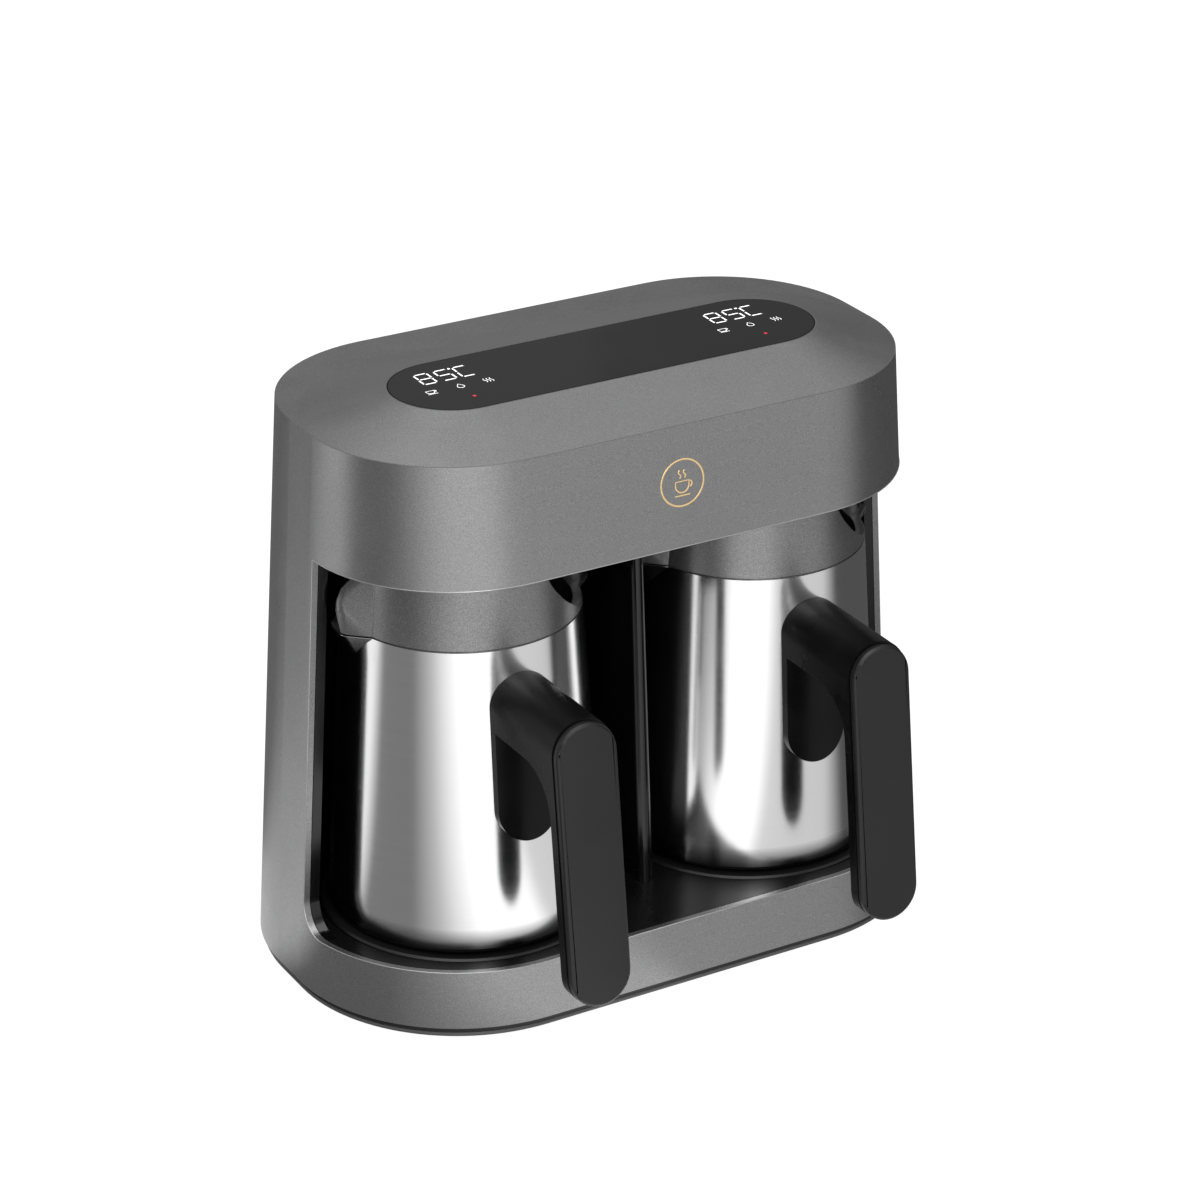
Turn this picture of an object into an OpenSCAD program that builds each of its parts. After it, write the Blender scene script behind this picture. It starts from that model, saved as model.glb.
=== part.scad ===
// Electric two-pot coffee maker: a drafted stadium-shaped housing with a glass control panel
// on top, two bays at the front and one lidless steel pot standing on a hot plate in each bay.
// The front is -Y, the base stands on Z = 0 and X runs across the two pots.

/* [Body] */
// Width of the housing at its lower edge
base_w = 279.8; // [240:0.2:320]
// Depth of the housing at its lower edge
base_d = 167; // [150:0.5:190]
// Length of the straight part of the housing's short sides
side_flat = 19.4; // [12:0.2:30]
// Draft of every outer wall
draft = 3.44; // [2.5:0.02:3.8]
// Height of the head's outer wall
head_h = 49.4; // [46:0.1:60]
// Wall thickness of the housing
shell_wall = 2.6; // [2:0.1:3.2]
// Roof thickness of the housing
roof_wall = 2.8; // [2.2:0.1:3.2]

/* [Bays] */
// Height of the tray that closes the base
tray_z = 29.3; // [28:0.1:36]
// Gap between the rims of the pots and the lower edge of the head
head_gap = 3.2; // [2.8:0.1:12]
// Distance of the upright cut of the bays ahead of the housing's middle
cut_y = 11.9; // [8:0.1:16]
// Radius of the lower rear corner of the cut
cut_r = 13; // [6:0.5:20]
// Distance from the outer wall to the visible face of the bay liner
liner_inset = 6.8; // [6:0.1:8]
// Wall thickness of the bay liner
liner_wall = 2; // [1.6:0.1:3]
// Distance from the bay's rear wall to the rear of the housing
bay_rear = 35.5; // [34:0.5:38]
// Sum of the clearances and walls beside one pot from the divider to the housing's side
bay_margin = 11.05; // [10.8:0.05:14]
// Distance from the front of the housing to the room for a pot
front_margin = 6.95; // [6.5:0.05:12]
// Thickness of the divider at the tray
divider_low_t = 6.7; // [5.5:0.1:7]
// Thickness of the divider under the head
divider_top_t = 5.5; // [4:0.1:6.5]
// Setback of the divider's front edge from the front of the housing
divider_setback = 34.5; // [30:0.5:45]
// Thickness of the tray
tray_t = 3; // [2.4:0.1:4]
// Thickness of the panel under the head
hood_t = 2; // [1.6:0.1:2.5]
// Height of the panel under the head above the head's lower edge
hood_lift = 2.5; // [1.5:0.1:3.5]

/* [Control panel] */
// Distance from the end of the control glass to the side of the housing
glass_side = 47.83; // [44:0.01:60]
// Corner radius of the control glass, which is half its depth
glass_r = 24.88; // [23:0.1:26]
// Thickness of the control glass
glass_t = 3; // [2.5:0.1:3.2]
// Rise of the glass above the upper edge of the outer walls
glass_rise = 9.9; // [9.4:0.1:12]
// Distance of the glass centre ahead of the housing's middle
glass_y = 12.1; // [10:0.1:14]
// Gap round the glass
glass_gap = 0.45; // [0.3:0.05:0.6]
// Width of the ledge that carries the glass
glass_ledge = 3; // [2.5:0.1:3.5]
// Width by which the circuit board reaches beyond the glass all round
board_lap = 3; // [2:0.1:4]

/* [Pots] */
// Distance of the pot axes ahead of the housing's middle
pot_y = 13.8; // [12:0.1:15]
// Clearance round the foot of a pot in its room
pot_gap = 7.15; // [7:0.05:9]
// Draw-in of the steel wall from the foot to the seam below the collar
pot_taper = 8; // [6:0.1:9.5]
// Height of the rim above the tray
rim_rise = 156; // [130:0.5:180]
// Height of the collar from the seam to the rim
collar_h = 28; // [27:0.5:32]
// Radius of the rounded foot
pot_foot_round = 2.5; // [2:0.5:8]
// Wall thickness of the steel pot
steel_wall = 1; // [0.8:0.1:1.4]
// Thickness of the heat-spreading base disc
base_disc_t = 3; // [2:0.5:4]
// Wall thickness of the collar
collar_wall = 2.3; // [2:0.1:2.8]
// Height of the dark joint line between collar and steel
seam_gap = 0.5; // [0.3:0.1:0.8]
// Depth of the collar's spigot inside the steel wall
spigot_h = 7; // [5:0.5:10]

/* [Spouts] */
// Length of the spout beyond the steel wall at the seam
spout_l = 7; // [5.5:0.1:8]
// Radius of the rounded corners of the spout tip
spout_tip_r = 4.5; // [3.5:0.1:5]
// Width of the flat part between the rounded corners of the tip
spout_flat_w = 6.4; // [4:0.1:7]
// Width of the spout where it leaves the round wall
spout_root_w = 26.6; // [22:0.2:28]
// Length of the spout's keel below the seam
spout_keel = 11.5; // [9:0.5:20]
// Inward lean of the spout's nose from the seam to the rim
spout_lean = 8; // [4:0.2:9]
// Height of the pouring edge above the seam
lip_rise = 1.7; // [1.2:0.1:3]
// Radius of the sweep from the pouring edge up to the rim
sweep_r = 29.5; // [27:0.5:31]
// Sideways place of the lowest point of the sweep
sweep_x = 6; // [4:0.5:8]
// Sideways place of the upright edge beside the spout
notch_x = 24.5; // [22:0.5:26]
// Direction of the pouring notch, turned from the spout towards the low side
notch_turn = 23; // [20:0.5:26]

/* [Handles] */
// Half width of the handle moulding
handle_half_w = 13.4; // [11.5:0.1:15.5]
// Inset of the front cover from the handle's outline
cover_inset = 0.4; // [0.2:0.05:1]
// Distance of the arm's axis below the seam
arm_drop = 23.8; // [20:0.2:30]
// Height of the centre of the grip's lower round end above the tray
grip_low_rise = 15.1; // [15:0.1:30]
// Distance from the arm's axis down to its flat underside
arm_under = 8.5; // [7:0.1:10]
// Distance from the pot's foot to the cover's face at the arm's axis
grip_out = 44.25; // [38:0.25:52]
// Lean of the grip from the upright
grip_lean = 6.97; // [5:0.01:8]
// Thickness of the front cover
cover_t = 3.75; // [3:0.05:4.5]
// Width of the joint line behind the front cover
cover_gap = 0.3; // [0.2:0.05:0.5]
// Depth of the grip's flat sides behind the cover's face
grip_side = 8.4; // [7.5:0.1:10]
// Height of the crown on the back of the grip
grip_crown = 5; // [3.5:0.1:6]
// Fillet radius between the arm and the grip
arm_fillet = 20; // [12:0.5:22]
// Thickness of the pad against the pot wall
pad_t = 3.7; // [3:0.1:4.5]
// Length of the pad below the arm's axis
pad_drop = 42.5; // [38:0.5:60]

/* [Heaters] */
// Clearance of the round opening in the tray inside the room for a pot
well_gap = 2.35; // [2.1:0.05:3]
// Gap round the hot plate in its opening
plate_gap = 1.6; // [1.2:0.05:2.5]
// Thickness of the hot plate
plate_t = 4; // [3:0.1:4.5]
// Distance from the hot plate's edge to the middle of the heating element's tube
element_inset = 20.8; // [14:0.2:26]
// Tube radius of the heating element
element_tube_r = 3.4; // [2.8:0.1:3.6]
// Radius of the temperature sensor
sensor_r = 8; // [6:0.5:10]

/* [Base] */
// Height of the feet
foot_h = 3; // [2.5:0.1:4]
// Radius of the feet
foot_r = 9; // [7:0.5:11]
// Thickness of the bottom plate
bottom_t = 2; // [1.6:0.1:2.5]
// Inset of the bottom plate from the outer wall
bottom_inset = 1.2; // [0.8:0.1:2]
// Distance of the feet from the sides of the housing
foot_side = 51.9; // [48:0.1:60]
// Distance of the feet from the front and rear of the housing
foot_front = 31.5; // [29:0.1:38]
// Bore radius of the cord gland
gland_bore_r = 3.4; // [2.5:0.1:4]
// Distance of the cord gland from the end of the flat rear face
gland_side = 16.1; // [11:0.1:40]
// Height of the cord gland
gland_z = 40; // [38:0.5:50]

/* [Hidden] */
// Facets of round shapes where they are drawn as polygons
$fn = 96;
// Overrun of every cut beyond the face it opens
cut_over = 1;
// Thickness of the flat slices that a rounded-off block is stretched between
slice_t = 0.2;
// Steps of an arc that is drawn as a polygon
arc_steps = 16;
// Facets of a drum whose radius is many times the width of the face it crowns
drum_fn = 720;
// Clearance between parts that are slipped together
slip_gap = 0.15;
// Clearance between moulded parts that are laid into each other
lay_gap = 0.3;

// Heights of the housing
housing_z = foot_h + bottom_t;
head_z = tray_z + rim_rise + head_gap;
edge_z = head_z + head_h;
glass_z = edge_z + glass_rise;
glass_seat_z = glass_z - glass_t;
hood_z = head_z + hood_lift;
// Centres of the four corner cones of the housing
corner_y = side_flat / 2;
base_r = base_d / 2 - corner_y;
corner_x = base_w / 2 - base_r;
function body_r(z) = base_r - (z - housing_z) * tan(draft);
// Distance from the housing's middle to its front and rear faces at a height
function face_y(z) = corner_y + body_r(z);

// Room for one pot, as wide and as deep as the bay allows, and what is sized from it
bay_back = base_d / 2 - bay_rear;
pot_pitch = (base_w + divider_low_t) / 2 - bay_margin;
pot_room_r = min((pot_pitch - divider_low_t) / 2, base_d / 2 - pot_y - front_margin);
well_r = pot_room_r - well_gap;
plate_r = well_r - plate_gap;
pot_foot_r = pot_room_r - pot_gap;
pot_seam_r = pot_foot_r - pot_taper;
spout_reach = pot_seam_r + spout_l;
seam_rise = rim_rise - collar_h;
arm_rise = seam_rise - arm_drop;
grip_reach = pot_foot_r + grip_out;
element_ring_r = plate_r - element_inset;

// Raised panel that carries the glass
glass_half_l = base_w / 2 - glass_side;
panel_shoulder = 0.5;
panel_rim = 0.6;
panel_cavity_inset = 3;
panel_ledge_t = 2.4;
// Badge ring on the front of the head
badge_z = 214.7;
badge_r = 9.8;
badge_line = 0.8;
badge_t = 0.4;
// Cup on the badge
badge_cup_w = 7.4;
badge_cup_h = 4.6;
badge_ear_r = 1.7;
badge_bowl_share = 0.72;
badge_steam_h = 2.6;
badge_steam_gap = 2.4;
badge_cup_y = -1.2;

// Parts between the glass and its board
display_w = 32;
display_d = 12;
display_h = 6.4;
display_inset = 26.9;
display_x = glass_half_l - display_inset;
display_y = 10.6;
lamp_r = 1.5;
lamp_h = 5;
lamp_y = -13.7;
spring_r = 4;
spring_wire = 0.8;
spring_h = 6.2;
spring_pitch = 12.3;
spring_y = -2.2;
touch_board_t = 1.6;
touch_board_z = glass_seat_z - display_h - lay_gap - touch_board_t;
board_corner_r = 4;
touch_board_w = 2 * (glass_half_l + board_lap);
touch_board_d = 2 * (glass_r + board_lap);
board_boss_r = 3;
board_pilot_r = 1.1;
board_screw_x = glass_half_l - glass_r;
board_screw_y = glass_r + panel_ledge_t / 2;
board_screw_l = 5;
board_head_r = 2.4;
board_head_h = 1.6;

// Bay liner and tray
liner_flange_t = 3;
tray_rear_lap = 3;
well_wall = 2;
well_ledge_w = 8;
well_ledge_t = 2;
well_depth = 9;
well_ledge_z = tray_z - well_depth;
level_sensor_r = 6;
level_sensor_flange_r = 8;
level_sensor_flange_t = 1.5;
level_sensor_drop = 1;
level_sensor_h = 12;
level_lens_r = 4;

// Hot plates
plate_proud = 0.1;
plate_bevel = 0.8;
plate_skirt_w = 2.5;
element_gap = 0.1;
terminal_r = 2;
terminal_h = 7;
terminal_turn = 12;
sensor_h = 8;
sensor_flange_r = 11;
sensor_flange_t = 1.2;

// Bottom plate, feet and screws
base_boss_r = 4;
base_boss_h = 12;
base_pilot_r = 1.4;
base_boss_sink = 1;
base_screw_r = 1.3;
base_screw_l = 9;
base_head_r = 2.8;
base_head_h = 1.2;
base_screw_turn = 45;
foot_x = base_w / 2 - foot_side;
foot_y = base_d / 2 - foot_front;
foot_peg_r = 3;
foot_peg_h = 3.5;
vent_l = 26;
vent_w = 3;
vent_pitch = 8;
vent_count = 5;

// Supply board behind the bays
transformer_size = [30, 13, 26];
relay_size = [20, 12, 15];
relay_gap = 6;
supply_side = 17;
supply_w = 2 * supply_side + transformer_size.x + 2 * (relay_gap + relay_size.x);
supply_h = 72;
supply_t = 1.6;
supply_z = 66;
supply_stand = 4.5;
supply_boss_r = 3.2;
supply_pilot_r = 1.2;
supply_edge = 5;
supply_screw_l = 5;
supply_head_r = 2.6;
supply_head_h = 1.6;
capacitor_r = 6;
capacitor_l = 12;
terminal_block_size = [34, 10, 9];

// Cord gland
gland_x = corner_x - gland_side;
gland_flange_r = 9;
gland_flange_t = 1.2;
gland_body_r = 6.4;
gland_inner_l = 10;
gland_collar_r = 7.6;
gland_collar_t = 2;

// Pot heights
plate_top = tray_z + plate_proud;
pot_z = plate_top + lay_gap;
seam_z = tray_z + seam_rise;
rim_z = tray_z + rim_rise;
pot_shoulder_z = pot_z + pot_foot_round;
pot_slope = (pot_foot_r - pot_seam_r) / (seam_z - pot_shoulder_z);
function wall_r(z) = pot_foot_r - (z - pot_shoulder_z) * pot_slope;
nose_rise_shares = [0, 0.2, 0.36, 0.5, 0.68, 0.86, 1];
nose_lean_shares = [0.02, -0.06, -0.17, -0.14, 0.08, 0.55, 0.95];
function nose_reach(z) = spout_reach - spout_lean * lookup((z - seam_z) / (rim_z - seam_z),
    [for (k = [0 : len(nose_rise_shares) - 1]) [nose_rise_shares[k], nose_lean_shares[k]]]);
pot_foot_ring = 1.4;
lip_z = seam_z + lip_rise;
lip_groove = 0.4;
keel_sink = 0.3;
// Handle places in the pot's own frame
arm_z = tray_z + arm_rise;
cover_half_w = handle_half_w - cover_inset;
cover_bevel = 1.2;
cover_crown = 0.6;
cover_peg_r = 2;
cover_peg_h = 4;
cover_peg_shares = [0.3, 0.85];
grip_len = (arm_rise - grip_low_rise) / cos(grip_lean);
grip_front = grip_reach + sin(grip_lean) * (grip_len + cover_half_w - cover_bevel);
grip_split = cover_t + cover_gap;
stud_r = 5;
stud_l = 16;
handle_screw_r = 2;
handle_head_r = 4;
handle_head_h = 3;
handle_head_sink = 4;
// Place of the housing's middle: the origin is below the middle of the whole outline
body_y = (pot_y + grip_front - base_d / 2) / 2;

// Moves a shape from the housing's middle to its place in the whole outline
module in_body() {
    translate([0, body_y, 0]) children();
}

// Moves a shape from a pot's own axis to its bay: -1 is the left bay and 1 the right one
module in_bay(side) {
    in_body() translate([side * pot_pitch / 2, -pot_y, 0]) children();
}

// Solid with the housing's drafted outline between two heights, drawn in by an inset
module drafted_block(z0, z1, inset) {
    r0 = body_r(z0) - inset;
    r1 = body_r(z1) - inset;
    for (sx = [-1, 1], sy = [-1, 1])
        translate([sx * corner_x, sy * corner_y, z0])
            cylinder(r1 = r0, r2 = r1, h = z1 - z0);
    rotate([90, 0, 90])
        linear_extrude(2 * corner_x, center = true)
            polygon([[-corner_y - r0, z0], [corner_y + r0, z0],
                     [corner_y + r1, z1], [-corner_y - r1, z1]]);
    rotate([90, 0, 0])
        linear_extrude(2 * corner_y, center = true)
            polygon([[-corner_x - r0, z0], [corner_x + r0, z0],
                     [corner_x + r1, z1], [-corner_x - r1, z1]]);
}

// Box across the whole width between two distances from the housing's middle
module cross_box(y0, y1, z0, z1) {
    translate([-base_w / 2 - cut_over, y0, z0])
        cube([base_w + 2 * cut_over, y1 - y0, z1 - z0]);
}

// Everything ahead of the upright cut and above the tray, with a rounded lower rear corner
module bay_cut() {
    front = base_d / 2 + cut_over;
    rotate([90, 0, 90])
        linear_extrude(base_w + 2 * cut_over, center = true)
            difference() {
                translate([-front, tray_z])
                    square([front - cut_y, head_z - tray_z]);
                difference() {
                    translate([-cut_y - cut_r, tray_z - cut_over])
                        square([cut_r + cut_over, cut_r + cut_over]);
                    translate([-cut_y - cut_r, tray_z + cut_r])
                        circle(cut_r);
                }
            }
}

// Flat stadium with its long side along X
module stadium(r, half_l, h) {
    for (s = [-1, 1])
        translate([s * (half_l - r), 0, 0]) cylinder(r = r, h = h);
    translate([-half_l + r, -r, 0]) cube([2 * (half_l - r), 2 * r, h]);
}

// Sloping panel between the corner cones of the front and the glass
module panel_slope(low_z, low_inset, top_z, top_r) {
    hull() {
        for (s = [-1, 1]) {
            translate([s * corner_x, -corner_y, low_z])
                cylinder(r = body_r(edge_z) - low_inset, h = slice_t);
            translate([s * (glass_half_l - glass_r), -glass_y, top_z - slice_t])
                cylinder(r = top_r, h = slice_t);
        }
    }
}

// Places of the screws that hold the bottom plate
module at_base_screws() {
    reach = body_r(housing_z) - shell_wall - base_boss_r + base_boss_sink;
    side = reach * cos(base_screw_turn);
    for (sy = [-1, 1]) {
        translate([0, sy * (corner_y + reach), housing_z]) children();
        for (sx = [-1, 1])
            translate([sx * (corner_x + side), sy * (corner_y + side), housing_z])
                children();
    }
}

// Places of the screws that hold the board under the glass
module at_board_screws() {
    for (sx = [-1, 1], sy = [-1, 1])
        translate([sx * board_screw_x, -glass_y + sy * board_screw_y, touch_board_z])
            children();
}

// Frame on the rear face at the cord gland, with +Z pointing straight out of the wall
module at_gland() {
    translate([gland_x, face_y(gland_z), gland_z]) rotate([draft - 90, 0, 0]) children();
}

// One-piece outer shell: base ring, rear, head and the raised panel round the glass
module outer_housing() {
    color("dimgray") in_body() {
        difference() {
            union() {
                drafted_block(housing_z, edge_z, 0);
                panel_slope(edge_z - slice_t, panel_shoulder, glass_z,
                            glass_r + glass_gap + panel_rim);
            }
            difference() {
                drafted_block(housing_z - cut_over, edge_z - roof_wall, shell_wall);
                at_base_screws() cylinder(r = base_boss_r, h = base_boss_h);
            }
            panel_slope(edge_z - roof_wall - slice_t, panel_cavity_inset,
                        glass_seat_z - panel_ledge_t, glass_r + panel_ledge_t / 2);
            translate([0, -glass_y, glass_seat_z])
                stadium(glass_r + glass_gap, glass_half_l + glass_gap, glass_t + cut_over);
            translate([0, -glass_y, edge_z - roof_wall - cut_over])
                stadium(glass_r - glass_ledge, glass_half_l - glass_ledge,
                        glass_rise + roof_wall);
            bay_cut();
            at_base_screws()
                translate([0, 0, -cut_over])
                    cylinder(r = base_pilot_r, h = base_boss_h);
            at_gland()
                translate([0, 0, -shell_wall - cut_over])
                    cylinder(r = gland_body_r + slip_gap, h = shell_wall + 2 * cut_over);
        }
        board_boss_h = glass_seat_z - panel_ledge_t / 2 - touch_board_z - touch_board_t;
        at_board_screws()
            translate([0, 0, touch_board_t])
                difference() {
                    cylinder(r = board_boss_r, h = board_boss_h);
                    translate([0, 0, -cut_over])
                        cylinder(r = board_pilot_r, h = board_screw_l + cut_over);
                }
    }
}

// Raised ring with a small cup on the sloping front of the head
module front_badge() {
    color("gold") in_body()
        translate([0, -face_y(badge_z), badge_z])
            rotate([90 - draft, 0, 0]) linear_extrude(badge_t) {
                difference() {
                    circle(badge_r);
                    circle(badge_r - badge_line);
                }
                translate([0, badge_cup_y]) badge_cup();
            }
}

// Outline of a cup with one ear and two upright strokes of steam
module badge_cup() {
    difference() {
        badge_bowl(0);
        badge_bowl(badge_line);
    }
    difference() {
        translate([badge_cup_w / 2, 0]) circle(badge_ear_r);
        translate([badge_cup_w / 2, 0]) circle(badge_ear_r - badge_line);
        badge_bowl(badge_line / 2);
    }
    for (s = [-1, 1])
        translate([s * badge_steam_gap / 2 - badge_line / 2, badge_cup_h / 2 + badge_line])
            square([badge_line, badge_steam_h]);
}

// Bowl of the cup: straight above, half round below, drawn in by an inset
module badge_bowl(inset) {
    half_w = badge_cup_w / 2 - inset;
    top = badge_cup_h / 2 - inset;
    intersection() {
        translate([0, badge_cup_h / 2]) circle(badge_cup_w * badge_bowl_share - inset);
        translate([-half_w, -badge_cup_w]) square([2 * half_w, badge_cup_w + top]);
    }
}

// Black glass with touch fields, laid into the top of the panel
module control_glass() {
    color("black") in_body()
        translate([0, -glass_y, glass_seat_z]) stadium(glass_r, glass_half_l, glass_t);
}

// Seven-segment display block under one end of the glass
module display(side) {
    color("white") in_body()
        translate([side * display_x - display_w / 2, -glass_y + display_y - display_d / 2,
                   touch_board_z + touch_board_t])
            cube([display_w, display_d, display_h]);
}

module left_display() { display(-1); }

module right_display() { display(1); }

// Round signal lamps on the board, one beside each display
module indicator_lamps() {
    color("red") in_body()
        for (s = [-1, 1])
            translate([s * display_x, -glass_y + lamp_y, touch_board_z + touch_board_t]) {
                cylinder(r = lamp_r, h = lamp_h);
                translate([0, 0, lamp_h]) sphere(lamp_r);
            }
}

// Contact springs between the board and the touch fields of the glass
module touch_springs() {
    color("silver") in_body()
        for (s = [-1, 1], k = [-1, 0, 1])
            translate([s * display_x + k * spring_pitch, -glass_y + spring_y,
                       touch_board_z + touch_board_t])
                difference() {
                    cylinder(r = spring_r, h = spring_h);
                    translate([0, 0, -cut_over])
                        cylinder(r = spring_r - spring_wire, h = spring_h + 2 * cut_over);
                }
}

// Circuit board under the glass
module touch_board() {
    color("darkgreen") in_body() difference() {
        translate([-touch_board_w / 2, -glass_y - touch_board_d / 2, touch_board_z])
            rounded_sheet([touch_board_w, touch_board_d, touch_board_t], board_corner_r);
        at_board_screws()
            translate([0, 0, -cut_over])
                cylinder(r = board_pilot_r + slip_gap, h = touch_board_t + 2 * cut_over);
    }
}

// Sheet with four rounded corners, standing on its own corner at the origin
module rounded_sheet(size, r) {
    translate([r, 0, 0]) cube([size.x - 2 * r, size.y, size.z]);
    translate([0, r, 0]) cube([size.x, size.y - 2 * r, size.z]);
    for (x = [r, size.x - r], y = [r, size.y - r])
        translate([x, y, 0]) cylinder(r = r, h = size.z);
}

// Screw standing on its head at z = 0, with the shaft pointing up
module screw(shaft_r, shaft_l, head_r, head_h) {
    translate([0, 0, -head_h]) cylinder(r = head_r, h = head_h);
    cylinder(r = shaft_r, h = shaft_l);
}

module touch_board_screws() {
    color("silver") in_body() at_board_screws()
        screw(board_pilot_r - slip_gap / 2, board_screw_l, board_head_r, board_head_h);
}

// Panel that closes the head from below, with a round window over each pot
module hood_panel() {
    color("#101010") in_body() difference() {
        intersection() {
            drafted_block(hood_z, hood_z + hood_t, shell_wall + lay_gap);
            cross_box(-base_d, bay_back + liner_wall, hood_z, hood_z + hood_t);
        }
        for (s = [-1, 1])
            translate([s * pot_pitch / 2, -pot_y, hood_z - cut_over])
                cylinder(r = level_sensor_r + slip_gap, h = hood_t + 2 * cut_over);
    }
}

// Sensor that watches the foam in one pot through the hood panel
module level_sensor(side) {
    color("darkslategray") in_bay(side) difference() {
        union() {
            translate([0, 0, hood_z - level_sensor_drop])
                cylinder(r = level_sensor_r, h = level_sensor_h);
            translate([0, 0, hood_z + hood_t])
                cylinder(r = level_sensor_flange_r, h = level_sensor_flange_t);
        }
        translate([0, 0, hood_z - level_sensor_drop - cut_over])
            cylinder(r = level_lens_r, h = level_sensor_drop + cut_over);
    }
}

module left_level_sensor() { level_sensor(-1); }

module right_level_sensor() { level_sensor(1); }

// Space between the bay liner's two faces, both following the housing's outline
module liner_ring(outer_inset, inner_inset, outer_back, inner_back) {
    difference() {
        intersection() {
            drafted_block(tray_z, hood_z, outer_inset);
            cross_box(-base_d, outer_back, tray_z, hood_z);
        }
        intersection() {
            drafted_block(tray_z - cut_over, hood_z + cut_over, inner_inset);
            cross_box(-base_d, inner_back, tray_z - cut_over, hood_z + cut_over);
        }
        bay_cut();
        cross_box(-base_d, -cut_y, head_z - cut_over, hood_z + cut_over);
    }
}

// Glossy inner wall round both bays, with a flange that closes the edge of the cut
module bay_liner() {
    color("#0a0a0a") in_body() {
        liner_ring(liner_inset - liner_wall, liner_inset, bay_back + liner_wall, bay_back);
        intersection() {
            liner_ring(shell_wall + lay_gap, liner_inset - liner_wall / 2, 0, 0);
            translate([0, liner_flange_t, 0]) bay_cut();
        }
        at_supply_screws()
            rotate([90, 0, 0])
                difference() {
                    cylinder(r = supply_boss_r, h = supply_stand + liner_wall / 2);
                    translate([0, 0, -cut_over])
                        cylinder(r = supply_pilot_r, h = supply_stand + cut_over);
                }
    }
}

// Places of the screws that hold the supply board behind the bays
module at_supply_screws() {
    for (sx = [-1, 1], z = [supply_z + supply_edge, supply_z + supply_h - supply_edge])
        translate([sx * (supply_w / 2 - supply_edge), bay_back + liner_wall + supply_stand, z])
            children();
}

// Upright wall between the two bays, thicker at its foot, with a round front edge
module bay_divider() {
    low_r = divider_low_t / 2;
    top_r = divider_top_t / 2;
    low_y = divider_setback - face_y(tray_z) + low_r;
    top_y = divider_setback - face_y(hood_z) + top_r;
    color("#101010") in_body() hull() {
        translate([0, low_y, tray_z]) cylinder(r = low_r, h = slice_t, $fn = 32);
        translate([0, top_y, hood_z - slice_t]) cylinder(r = top_r, h = slice_t, $fn = 32);
        translate([-low_r, bay_back - slice_t, tray_z])
            cube([2 * low_r, slice_t, slice_t]);
        translate([-top_r, bay_back - slice_t, hood_z - slice_t])
            cube([2 * top_r, slice_t, slice_t]);
    }
}

// Floor of the bays with a round well for each hot plate
module base_tray() {
    well_outer_r = well_r + well_wall;
    color("#151515") in_body() difference() {
        union() {
            intersection() {
                drafted_block(tray_z - tray_t, tray_z, shell_wall + lay_gap);
                cross_box(-base_d, bay_back + liner_wall + tray_rear_lap,
                          tray_z - tray_t, tray_z);
            }
            for (s = [-1, 1])
                translate([s * pot_pitch / 2, -pot_y, well_ledge_z - well_ledge_t])
                    cylinder(r = well_outer_r, h = well_depth + well_ledge_t - tray_t / 2);
        }
        for (s = [-1, 1])
            translate([s * pot_pitch / 2, -pot_y, 0]) {
                translate([0, 0, well_ledge_z])
                    cylinder(r = well_r, h = well_depth + cut_over);
                translate([0, 0, well_ledge_z - well_ledge_t - cut_over])
                    cylinder(r = well_r - well_ledge_w, h = well_ledge_t + 2 * cut_over);
            }
    }
}

// Hot plate with a bevelled edge and a skirt that stands on the ledge of its well
module hot_plate(side) {
    color("gray") in_bay(side) difference() {
        union() {
            translate([0, 0, well_ledge_z])
                cylinder(r = plate_r, h = plate_top - plate_bevel - well_ledge_z);
            translate([0, 0, plate_top - plate_bevel])
                cylinder(r1 = plate_r, r2 = plate_r - plate_bevel, h = plate_bevel);
        }
        translate([0, 0, well_ledge_z - cut_over])
            cylinder(r = plate_r - plate_skirt_w,
                     h = plate_top - plate_t - well_ledge_z + cut_over);
    }
}

module left_hot_plate() { hot_plate(-1); }

module right_hot_plate() { hot_plate(1); }

// Tubular heating element below a hot plate, with its two terminals pointing down
module heating_element(side) {
    color("saddlebrown") in_bay(side)
        translate([0, 0, plate_top - plate_t - element_gap - element_tube_r]) {
            rotate_extrude() translate([element_ring_r, 0]) circle(element_tube_r);
            for (s = [-1, 1])
                rotate([0, 0, 90 + s * terminal_turn])
                    translate([element_ring_r, 0, -element_tube_r - terminal_h])
                        cylinder(r = terminal_r, h = terminal_h + element_tube_r);
        }
}

module left_heating_element() { heating_element(-1); }

module right_heating_element() { heating_element(1); }

// Temperature sensor pressed against the middle of a hot plate from below
module heat_sensor(side) {
    color("silver") in_bay(side) translate([0, 0, plate_top - plate_t - sensor_h]) {
        cylinder(r = sensor_r, h = sensor_h);
        translate([0, 0, sensor_h - sensor_flange_t])
            cylinder(r = sensor_flange_r, h = sensor_flange_t);
    }
}

module left_heat_sensor() { heat_sensor(-1); }

module right_heat_sensor() { heat_sensor(1); }

// Circuit board that supplies the plates, upright behind the bays
module supply_board() {
    board_y = bay_back + liner_wall + supply_stand;
    color("darkgreen") in_body() difference() {
        translate([-supply_w / 2, board_y, supply_z]) cube([supply_w, supply_t, supply_h]);
        at_supply_screws() rotate([90, 0, 0])
            cylinder(r = supply_pilot_r + slip_gap, h = 2 * supply_t + cut_over, center = true);
    }
}

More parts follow.
